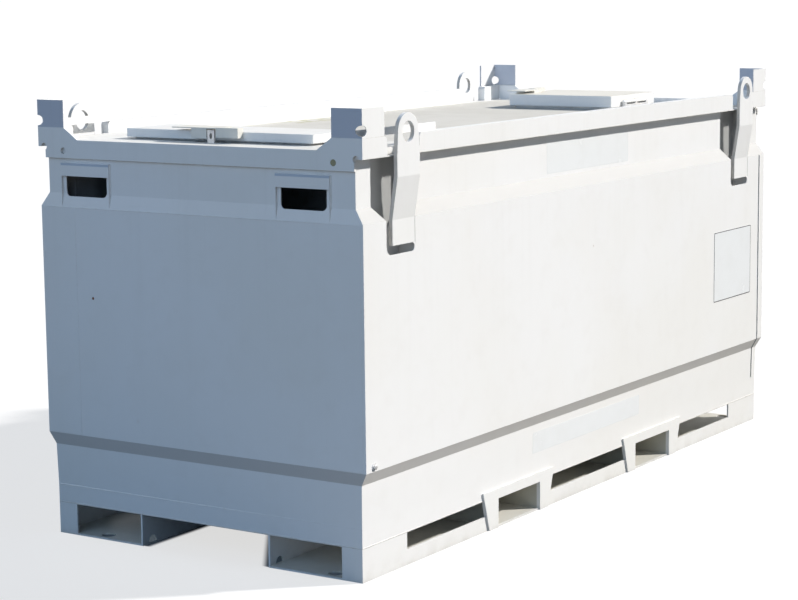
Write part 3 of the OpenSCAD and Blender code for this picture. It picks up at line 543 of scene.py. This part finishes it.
def modify(piece, kind, **settings):
    clearSelection()
    bpy.context.view_layer.objects.active = piece
    piece.select_set(True)
    modifier = piece.modifiers.new(kind.title(), kind)
    for key, value in settings.items():
        setattr(modifier, key, value)
    bpy.ops.object.modifier_apply(modifier=modifier.name)


def copyMoved(piece, shift=(0, 0, 0), flip=(1, 1, 1)):
    # a copy with its own mesh, moved or mirrored, its faces turned right again
    twin = piece.copy()
    twin.data = piece.data.copy()
    scene.collection.objects.link(twin)
    twin.data.transform(Matrix.Translation(Vector(shift)) @ Matrix.Diagonal((*flip, 1.0)))
    if flip[0] * flip[1] * flip[2] < 0:
        twin.data.flip_normals()
    return twin


def joined(name, pieces, finish, body="tank", smooth=None):
    clearSelection()
    for piece in pieces:
        piece.select_set(True)
    whole = pieces[0]
    bpy.context.view_layer.objects.active = whole
    if len(pieces) > 1:
        bpy.ops.object.join()
    if smooth:
        bpy.ops.object.shade_smooth_by_angle(angle=math.radians(smooth))
    whole.name = whole.data.name = name
    whole.data.materials.clear()
    whole.data.materials.append(finishes[finish])
    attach(whole, body)
    print("made", name, len(whole.data.polygons), "faces")
    return whole


# weld beads

weld = {"radius": 0.0045, "pitch": 0.011, "sides": 8, "lumps": 0.0016, "grain": 0.009,
        "sink": 0.0025, "under": 0.003, "beside": 0.001}

beadClouds = bpy.data.textures.new("beadClouds", "CLOUDS")
beadClouds.noise_scale = weld["grain"]


def weldRun(start, end, radius=None, pitch=None):
    # a straight bead: a rod cut into short rings, then made uneven
    radius, pitch = radius or weld["radius"], pitch or weld["pitch"]
    bead = rod(start, end, radius, weld["sides"])
    long = (Vector(end) - Vector(start)).length
    pick(bead, "EDGE", lambda e: edgeLength(bead.data, e) > long * 0.9)
    bpy.ops.mesh.subdivide(number_cuts=max(2, int(long / pitch)))
    bpy.ops.object.mode_set(mode="OBJECT")
    modify(bead, "DISPLACE", texture=beadClouds, strength=weld["lumps"], mid_level=0.5,
           texture_coords="LOCAL")
    return bead


# along the foot of the walls, where they stand on the skid base
footZ = baseTop - weld["under"]
footX, footY = baseEnd - weld["sink"], baseFace - weld["sink"]
longFoot = weldRun((-footX, -footY, footZ), (footX, -footY, footZ))
endFoot = weldRun((-footX, -footY, footZ), (-footX, footY, footZ))
joined("base_seam_welds", [longFoot, copyMoved(longFoot, flip=(1, -1, 1)), endFoot,
                           copyMoved(endFoot, flip=(-1, 1, 1))],
       "weld_paint", smooth=60)

# under the end plates
plateFoot = at("near_end_plate")[0].z
underX, underY = bandEnd + weld["beside"], bandFace - 0.01
plateRun = weldRun((-underX, -underY, plateFoot), (-underX, underY, plateFoot))
joined("end_plate_welds", [plateRun, copyMoved(plateRun, flip=(-1, 1, 1))], "weld_paint",
       smooth=60)

# round the feet of the stacking angles
angleLow, angleHigh = at("far_back_angle")
legX, legY = angleHigh.x - angleLow.x, angleHigh.y - angleLow.y
angle = {"thick": 0.012, "flush": 0.0042, "sink": 0.0025, "inside": 0.005, "outside": 0.003}
inX, inY = tankEnd - angle["thick"], railFace - angle["thick"]
outX, outY = tankEnd - angle["flush"], railFace - angle["sink"]
angleBeads = [weldRun((inX, railFace - legY, railTop), (inX, inY, railTop), angle["inside"]),
              weldRun((tankEnd - legX, inY, railTop), (inX, inY, railTop), angle["inside"]),
              weldRun((tankEnd - legX, outY, railTop), (outX, outY, railTop), angle["outside"]),
              weldRun((outX, railFace - legY, railTop),
                      (outX, railFace - angle["outside"], railTop), angle["outside"])]
angleCopies = [copyMoved(bead, flip=(sx, sy, 1)) for bead in angleBeads
               for sx, sy in ((1, -1), (-1, 1), (-1, -1))]
joined("angle_welds", angleBeads + angleCopies, "weld_paint", smooth=60)

# each lug's foot: flush down its right side, and along the hidden rib behind it
lugLow, lugHigh = at("far_front_lug")
foot = {"in": 0.025, "rib": 0.045, "ribThick": 0.005, "bead": 0.0025, "ribBead": 0.004}
ribX = lugHigh.x - foot["rib"]


def footBead(x, deep, top, radius):
    # an upright bead on the foot, at a depth behind the wall's face
    return weldRun((x, -wallFace + deep, lugLow.z), (x, -wallFace + deep, top), radius)


lugBeads = [footBead(lugHigh.x, 0.0005, foldUp + 0.004, foot["bead"]),
            footBead(ribX, foot["in"], foldUp - 0.005, foot["ribBead"]),
            footBead(ribX + foot["ribThick"], foot["in"], foldUp - 0.005, foot["ribBead"])]
lugCopies = []
for bead in lugBeads:
    lugCopies.append(copyMoved(bead, flip=(1, -1, 1)))
    lugCopies.append(copyMoved(bead, shift=(-2 * lugX, 0, 0)))
    lugCopies.append(copyMoved(lugCopies[-1], flip=(1, -1, 1)))
joined("lug_welds", lugBeads + lugCopies, "weld_paint", smooth=60)

# over and beside the vent hoods
hoodX = -bandEnd - weld["beside"]
hoodBeads = []
for name in ("front_slot_hood", "back_slot_hood"):
    low, high = at(name)
    hoodBeads += [weldRun((hoodX, low.y, high.z), (hoodX, high.y, high.z)),
                  weldRun((hoodX, low.y, slopeTop), (hoodX, low.y, high.z)),
                  weldRun((hoodX, high.y, slopeTop), (hoodX, high.y, high.z))]
joined("hood_welds", hoodBeads, "wall_paint", smooth=60)

# round the feet of the two coamings
coamingBead = {"radius": 0.004, "pitch": 0.016}
beads = []
for name in ("cabinet_coaming", "hatch_coaming"):
    low, high = at(name)
    beads += [weldRun((low.x, y, low.z), (high.x, y, low.z), **coamingBead)
              for y in (low.y, high.y)]
    beads += [weldRun((x, low.y, low.z), (x, high.y, low.z), **coamingBead)
              for x in (low.x, high.x)]
joined("coaming_welds", beads, "weld_paint", smooth=60)
print("welds done")


# laps in the sheets

lap = {"x": 2.690, "proud": 0.007, "wide": 0.030, "low": 0.350, "overlap": 0.010,
       "endY": 0.940, "endProud": 0.0015}


def wallAt(z):
    # outer face of the long wall at height z
    if z <= flareZ:
        return baseFace
    flared = baseFace + fold["flareOut"]
    if z <= foldLow:
        return baseFace + fold["flareOut"] * (z - flareZ) / (foldLow - flareZ)
    if z <= slopeLowTop:
        return flared + (wallFace - flared) * (z - foldLow) / (slopeLowTop - foldLow)
    return wallFace


def lapStrip():
    # a wedge that follows the wall: one square ring pulled up from fold to fold
    z = lap["low"]
    strip = block((lap["x"], -wallAt(z) - lap["proud"], z - 0.002),
                  (lap["x"] + lap["wide"], -wallAt(z) + lap["overlap"], z))
    for upper in (foldLow, slopeLowTop, foldUp - 0.003):
        pick(strip, "FACE", lambda p: p.normal.z > 0.5)
        bpy.ops.mesh.extrude_region_move(TRANSFORM_OT_translate={
            "value": (0, -(wallAt(upper) - wallAt(z)), upper - z)})
        bpy.ops.object.mode_set(mode="OBJECT")
        z = upper
    for corner in strip.data.vertices:
        # the far edge runs down flush with the wall
        if corner.co.x > lap["x"] + lap["wide"] / 2 and corner.co.y < -wallAt(corner.co.z) + 0.002:
            corner.co.y += lap["proud"] - 0.0004
    modify(strip, "BEVEL", width=0.0010, segments=2)
    return strip


strips = [lapStrip()]
strips.append(copyMoved(strips[0], flip=(1, -1, 1)))
joined("wall_lap_strips", strips, "wall_paint")

# a line of sealant down each strip's near edge
sealantLine = {"radius": 0.0030, "beside": 0.0006, "sink": 0.0004, "sides": 8}


def sealantPoint(z):
    return lap["x"] - sealantLine["beside"], -wallAt(z) + sealantLine["sink"], z


seams = [rod(sealantPoint(z0), sealantPoint(z1), sealantLine["radius"], sealantLine["sides"])
         for z0, z1 in ((lap["low"], foldLow), (foldLow, slopeLowTop), (slopeLowTop, foldUp))]
seams += [copyMoved(seam, flip=(1, -1, 1)) for seam in seams]
joined("wall_lap_sealant", seams, "sealant", smooth=60)

endSheets = []
for side in (-1, 1):
    y0, y1 = sorted((side * lap["endY"], side * (wallFace - 0.020)))
    sheet = block((-wallEnd - lap["endProud"], y0, slopeLowTop + 0.004),
                  (-wallEnd + 0.002, y1, foldUp - 0.003))
    modify(sheet, "BEVEL", width=0.0007, segments=2)
    endSheets.append(sheet)
joined("end_wall_laps", endSheets, "wall_paint")

# raised seams across both ends: low on the flared band, and along the fold under the slope
ridge = {"high": 0.006, "proud": 0.0034, "in": 0.002, "lowHalf": baseFace - 0.010,
         "upHalf": wallFace - 0.045, "fade": 0.0026}


def foldRidge(x, z, half, fade=0.0):
    # a wedge whose outer face leans back towards its top, and which may fade out towards the front
    bar = block((-x - ridge["proud"], -half, z - ridge["high"] / 2),
                (-x + ridge["in"], half, z + ridge["high"] / 2))
    for corner in bar.data.vertices:
        if corner.co.x < -x and corner.co.z > z:
            corner.co.x += ridge["proud"] - 0.0004
        elif corner.co.x < -x and corner.co.y < 0:
            corner.co.x += fade
    modify(bar, "BEVEL", width=0.0004, segments=2)
    return bar


ridges = [foldRidge(baseEnd, flareZ, ridge["lowHalf"], ridge["fade"]),
          foldRidge(wallEnd, foldUp, ridge["upHalf"])]
ridges += [copyMoved(bar, flip=(-1, 1, 1)) for bar in ridges]
joined("end_seam_ridges", ridges, "wall_paint")
print("laps done")


# bare plates and films

plates = {"sign": {"x": (1.893, 2.548), "z": (1.045, 1.570), "thick": 0.0016, "corner": 0.010,
                   "border": 0.006},
          "bandPanel": {"x": (-0.551, 0.597), "z": (2.208, 2.412), "thick": 0.0006,
                        "corner": 0.008},
          "lowPanel": {"x": (-0.768, 0.757), "z": (0.390, 0.530), "thick": 0.0006,
                       "corner": 0.008}}


def panel(plan, face, tilt=0.0):
    # a thin sheet on the front wall with rounded corners
    (x0, x1), (z0, z1) = plan["x"], plan["z"]
    sheet = block((x0, -face - plan["thick"], z0), (x1, -face + 0.002, z1), (tilt, 0, 0))
    pick(sheet, "EDGE", lambda e: edgeSpan(sheet.data, e, 1) > 0.0005
         and edgeLength(sheet.data, e) < 0.05)
    bpy.ops.mesh.bevel(offset=plan["corner"], segments=6, affect="EDGES")
    bpy.ops.object.mode_set(mode="OBJECT")
    return sheet


sign = plates["sign"]
signSheet = panel(sign, wallFace)
pick(signSheet, "FACE", lambda p: p.normal.y < -0.9)
bpy.ops.mesh.inset(thickness=sign["border"], depth=0)
bpy.ops.object.mode_set(mode="OBJECT")
joined("bare_sign", [signSheet], "film", smooth=30)
# the faces between the inset and the rim are a dark printed edge
signSheet.data.materials.append(finishes["printedEdge"])
for face in signSheet.data.polygons:
    isMiddle = abs(face.center.x - sum(sign["x"]) / 2) < 0.01 and face.area > 0.1
    if face.normal.y < -0.9 and not isMiddle:
        face.material_index = 1

lowPlan = plates["lowPanel"]
lowTilt = math.atan(fold["flareOut"] / (foldLow - flareZ))
lowPanel = panel(lowPlan, wallAt(sum(lowPlan["z"]) / 2), lowTilt)
joined("bare_low_panel", [lowPanel], "film", smooth=30)
joined("bare_band_panel", [panel(plates["bandPanel"], bandFace)], "film",
       smooth=30)
print("panels done")


# drain plug, pins, bolts

plug = {"x": -2.696, "z": 0.687, "boss": 0.024, "proud": 0.004, "rim": 0.004, "dish": 0.0015,
        "across": 0.028, "head": 0.010}


def ringBoss(center, direction, radius, thick, rim, dish):
    # a round boss with a bevelled edge and a shallow dish
    center, direction = Vector(center), Vector(direction)
    boss = rod(center - direction * 0.004, center + direction * thick, radius, 40)
    pick(boss, "FACE", lambda p: p.normal.dot(direction) > 0.9)
    bpy.ops.mesh.inset(thickness=rim, depth=0)
    bpy.ops.mesh.inset(thickness=dish, depth=-dish)
    bpy.ops.object.mode_set(mode="OBJECT")
    modify(boss, "BEVEL", width=0.0008, segments=2, limit_method="ANGLE")
    return boss


def hexHead(center, direction, across, thick):
    # a hexagon head with a chamfered crown
    center, direction = Vector(center), Vector(direction)
    head = rod(center - direction * 0.002, center + direction * thick, across / math.sqrt(3), 6)
    pick(head, "FACE", lambda p: p.normal.dot(direction) > 0.9)
    bpy.ops.mesh.inset(thickness=across * 0.07, depth=across * 0.035)
    bpy.ops.object.mode_set(mode="OBJECT")
    modify(head, "BEVEL", width=across * 0.02, segments=2, limit_method="ANGLE")
    return head


# a soft bung pressed into the front hole of the near end plate
bung = {"fromFront": 0.202, "up": 0.046, "radius": 0.0196, "deep": 0.006, "in": 0.0010,
        "rim": 0.005, "dish": 0.0012}
bungAt = Vector((-tankEnd + bung["in"], bung["fromFront"] - railFace, plateFoot + bung["up"]))
disc = rod(bungAt, bungAt + Vector((bung["deep"], 0, 0)), bung["radius"], 40)
pick(disc, "FACE", lambda p: p.normal.x < -0.9)
bpy.ops.mesh.inset(thickness=bung["rim"], depth=-bung["dish"])
bpy.ops.object.mode_set(mode="OBJECT")
modify(disc, "BEVEL", width=0.0006, segments=2, limit_method="ANGLE")
joined("hole_bung", [disc], "bung", smooth=40)

front = Vector((0, -1, 0))
plugAt = Vector((plug["x"], -wallFace, plug["z"]))
plugBoss = ringBoss(plugAt, front, plug["boss"], plug["proud"], plug["rim"], plug["dish"])
joined("drain_boss", [plugBoss], "wall_paint", smooth=35)
plugHead = hexHead(plugAt + front * (plug["proud"] - 0.001), front, plug["across"], plug["head"])
joined("drain_plug", [plugHead], "hinge_steel", smooth=35)


pin = {"washer": 0.0105, "washerThick": 0.0018, "head": 0.0082, "headHigh": 0.0048, "sides": 28}


def pinHead(center, direction):
    # the domed head of a hinge pin, on its washer
    center, direction = Vector(center), Vector(direction)
    washer = rod(center - direction * 0.0005, center + direction * pin["washerThick"],
                 pin["washer"], pin["sides"])
    modify(washer, "BEVEL", width=0.0004, segments=2, limit_method="ANGLE")
    dome = rod(center + direction * 0.0015, center + direction * pin["headHigh"],
               pin["head"], pin["sides"])
    pick(dome, "FACE", lambda p: p.normal.dot(direction) > 0.9)
    bpy.ops.mesh.inset(thickness=0.0022, depth=0.0011)
    bpy.ops.mesh.inset(thickness=0.0026, depth=0.0006)
    bpy.ops.object.mode_set(mode="OBJECT")
    return [washer, dome]


joints = {joint["name"]: Vector(joint["pos_m"]) for joint in frame["joints"]}
hinge = joints["cabinet_hinge"]
earLow, earHigh = at("cabinet_hinge_ears")
heads = pinHead((hinge.x, earLow.y, hinge.z), (0, -1, 0)) \
    + pinHead((hinge.x, earHigh.y, hinge.z), (0, 1, 0))
joined("cabinet_pin_heads", heads, "hinge_steel", smooth=40)
hinge = joints["hatch_hinge"]
earLow, earHigh = at("hatch_hinge_ears")
heads = pinHead((earLow.x, hinge.y, hinge.z), (-1, 0, 0)) \
    + pinHead((earHigh.x, hinge.y, hinge.z), (1, 0, 0))
joined("hatch_pin_heads", heads, "hinge_steel", smooth=40)

# sixteen bolts round the manway cover
cover = {"bolts": 16, "ring": 0.252, "across": 0.024, "thick": 0.010, "washer": 0.0155,
         "washerThick": 0.0025}
coverLow, coverHigh = at("manway_cover")
middle = (coverLow + coverHigh) / 2
up = Vector((0, 0, 1))
firstAt = Vector((middle.x + cover["ring"], middle.y, coverHigh.z))
onWasher = firstAt + up * cover["washerThick"]
washer = rod(firstAt, onWasher, cover["washer"], 24)
modify(washer, "BEVEL", width=0.0005, segments=2, limit_method="ANGLE")
head = hexHead(onWasher, up, cover["across"], cover["thick"])
bolts = [washer, head]
for index in range(1, cover["bolts"]):
    around = Matrix.Rotation(2 * math.pi * index / cover["bolts"], 4, "Z")
    spin = Matrix.Translation(middle) @ around @ Matrix.Translation(-middle)
    for source in (washer, head):
        twin = copyMoved(source)
        twin.data.transform(spin)
        bolts.append(twin)
joined("manway_bolts", bolts, "hinge_steel", smooth=35)

# rubber bulb round each coaming, under the lid's skirt
bulb = {"radius": 0.0045, "down": 0.012, "corner": 0.008, "out": 0.9, "thick": 1.7}


def coamingSeal(name, coaming):
    low, high = at(coaming)
    z = high.z - bulb["down"]
    out = bulb["radius"] * bulb["out"]
    ring = block((low.x - out, low.y - out, z - bulb["radius"]),
                 (high.x + out, high.y + out, z + bulb["radius"]))
    # only the side faces stay, so that the ring lies round the coaming
    pick(ring, "FACE", lambda p: abs(p.normal.z) > 0.5)
    bpy.ops.mesh.delete(type="ONLY_FACE")
    bpy.ops.object.mode_set(mode="OBJECT")
    pick(ring, "EDGE", lambda e: edgeSpan(ring.data, e, 2) > 0.001)
    bpy.ops.mesh.bevel(offset=bulb["corner"], segments=5, affect="EDGES")
    bpy.ops.object.mode_set(mode="OBJECT")
    modify(ring, "SOLIDIFY", thickness=bulb["radius"] * bulb["thick"], offset=-0.6)
    modify(ring, "BEVEL", width=0.0030, segments=3, limit_method="ANGLE")
    return joined(name, [ring], "seal", smooth=50)


coamingSeal("cabinet_seal", "cabinet_coaming")
coamingSeal("hatch_seal", "hatch_coaming")
print("small fittings done")


# floor, light and camera

clearSelection()
bpy.ops.mesh.primitive_plane_add(size=1600, location=(0, 0, -0.0005))
floor = bpy.context.object
floor.name = "floor"

studio = {"floorSeen": rgb(0.34, 0.34, 0.34), "floorGlow": rgb(0.70, 0.695, 0.685),
          "floorBounce": rgb(0.20, 0.194, 0.178), "under": (2.74, 1.15),
          "open": (1.45, 1.51), "openSlant": 0.7, "openFar": (0.42, 0.47),
          "fill": rgb(0.07, 0.11, 0.175), "sunFrom": (0.55, -0.60, 0.57), "sun": 4.7,
          "sunColour": (1.0, 0.965, 0.92), "sunWide": 0.05,
          "sideFrom": (-0.92, -0.03, 0.40), "side": 0.85, "sideColour": (0.464, 0.688, 1.0),
          "sideWide": 1.0}


def rayKinds(f, names):
    # 1 for rays of the named kinds
    rays = f.make("ShaderNodeLightPath")
    seen = [Wire(f, rays.outputs["Is " + name + " Ray"]) for name in names]
    return f.add("ShaderNodeClamp", None, {0: sum(seen)})


f = Finish(bpy.data.materials.new("floorPale"))
seen = rayKinds(f, ["Camera"])
grey = f.mix(seen, studio["floorBounce"], studio["floorSeen"])
spotX, spotY = f.parts(f.place())[:2]
underX, underY = studio["under"]
# the floor glows for the camera everywhere but under the tank, which paints the floor darker there
glowOffUnderTank = (1.0 - f.step(abs(spotX), underX, underX + 0.02)) \
    * (1.0 - f.step(abs(spotY), underY, underY + 0.02))
# past a slanted line the floor under the tank glows again, a painted light standing in for daylight from the far
# side
paintedLightUnderTank = f.step(spotY - studio["openSlant"] * spotX, *studio["open"]) \
    * (1.0 - f.step(spotY, *studio["openFar"]))
glowOffUnderTank = glowOffUnderTank * (1.0 - paintedLightUnderTank)
shader = f.add("ShaderNodeBsdfPrincipled", None,
               {"Base Color": grey, "Roughness": 0.9, "Specular IOR Level": 0.0,
                "Emission Color": f.mix(seen * (1.0 - glowOffUnderTank), rgb(0, 0, 0), studio["floorGlow"]),
                "Emission Strength": 1.0}, "BSDF")
f.make("ShaderNodeOutputMaterial", None, {"Surface": shader})
floor.data.materials.append(f.owner)

world = bpy.data.worlds.new("studio")
scene.world = world
f = Finish(world)
seen = rayKinds(f, ["Camera", "Glossy", "Transmission"])
sky = f.mix(seen, studio["fill"], rgb(1, 1, 1))
glow = f.add("ShaderNodeBackground", None, {"Color": sky, "Strength": 1.0}, "Background")
f.make("ShaderNodeOutputWorld", None, {"Surface": glow})


def softSun(name, toward, strength, colour, wide):
    lamp = bpy.data.lights.new(name, "SUN")
    lamp.energy, lamp.color, lamp.angle = strength, colour, wide
    holder = bpy.data.objects.new(name, lamp)
    holder.rotation_euler = Vector(toward).to_track_quat("Z", "Y").to_euler()
    scene.collection.objects.link(holder)


softSun("mainLight", studio["sunFrom"], studio["sun"], studio["sunColour"], studio["sunWide"])
softSun("sideFill", studio["sideFrom"], studio["side"], studio["sideColour"], studio["sideWide"])

view = {"azimuth": -56.787, "elevation": 8.419, "roll": -0.630, "distance": 15.4696,
        "target": (0, 0, 0.611), "right": -0.3147, "up": 0.608, "lens": 98.07,
        "sensor": 36.0, "clipEnd": 3000.0}
az, el, roll = (math.radians(view[key]) for key in ("azimuth", "elevation", "roll"))
back = Vector((math.sin(az) * math.cos(el), -math.cos(az) * math.cos(el), math.sin(el)))
flatRight = Vector((math.cos(az), math.sin(az), 0))
flatUp = back.cross(flatRight)
right = flatRight * math.cos(roll) + flatUp * math.sin(roll)
upward = back.cross(right)
camera = bpy.data.objects.new("camera", bpy.data.cameras.new("camera"))
camera.data.lens, camera.data.sensor_width = view["lens"], view["sensor"]
camera.data.clip_end = view["clipEnd"]
place = Vector(view["target"]) + back * view["distance"] \
    + right * view["right"] + upward * view["up"]
turn = Matrix((right, upward, back)).transposed().to_4x4()
camera.matrix_world = Matrix.Translation(place) @ turn
scene.collection.objects.link(camera)
scene.camera = camera
scene.view_settings.view_transform = "Standard"
print("camera at", [round(v, 3) for v in place], "right", [round(v, 4) for v in right])
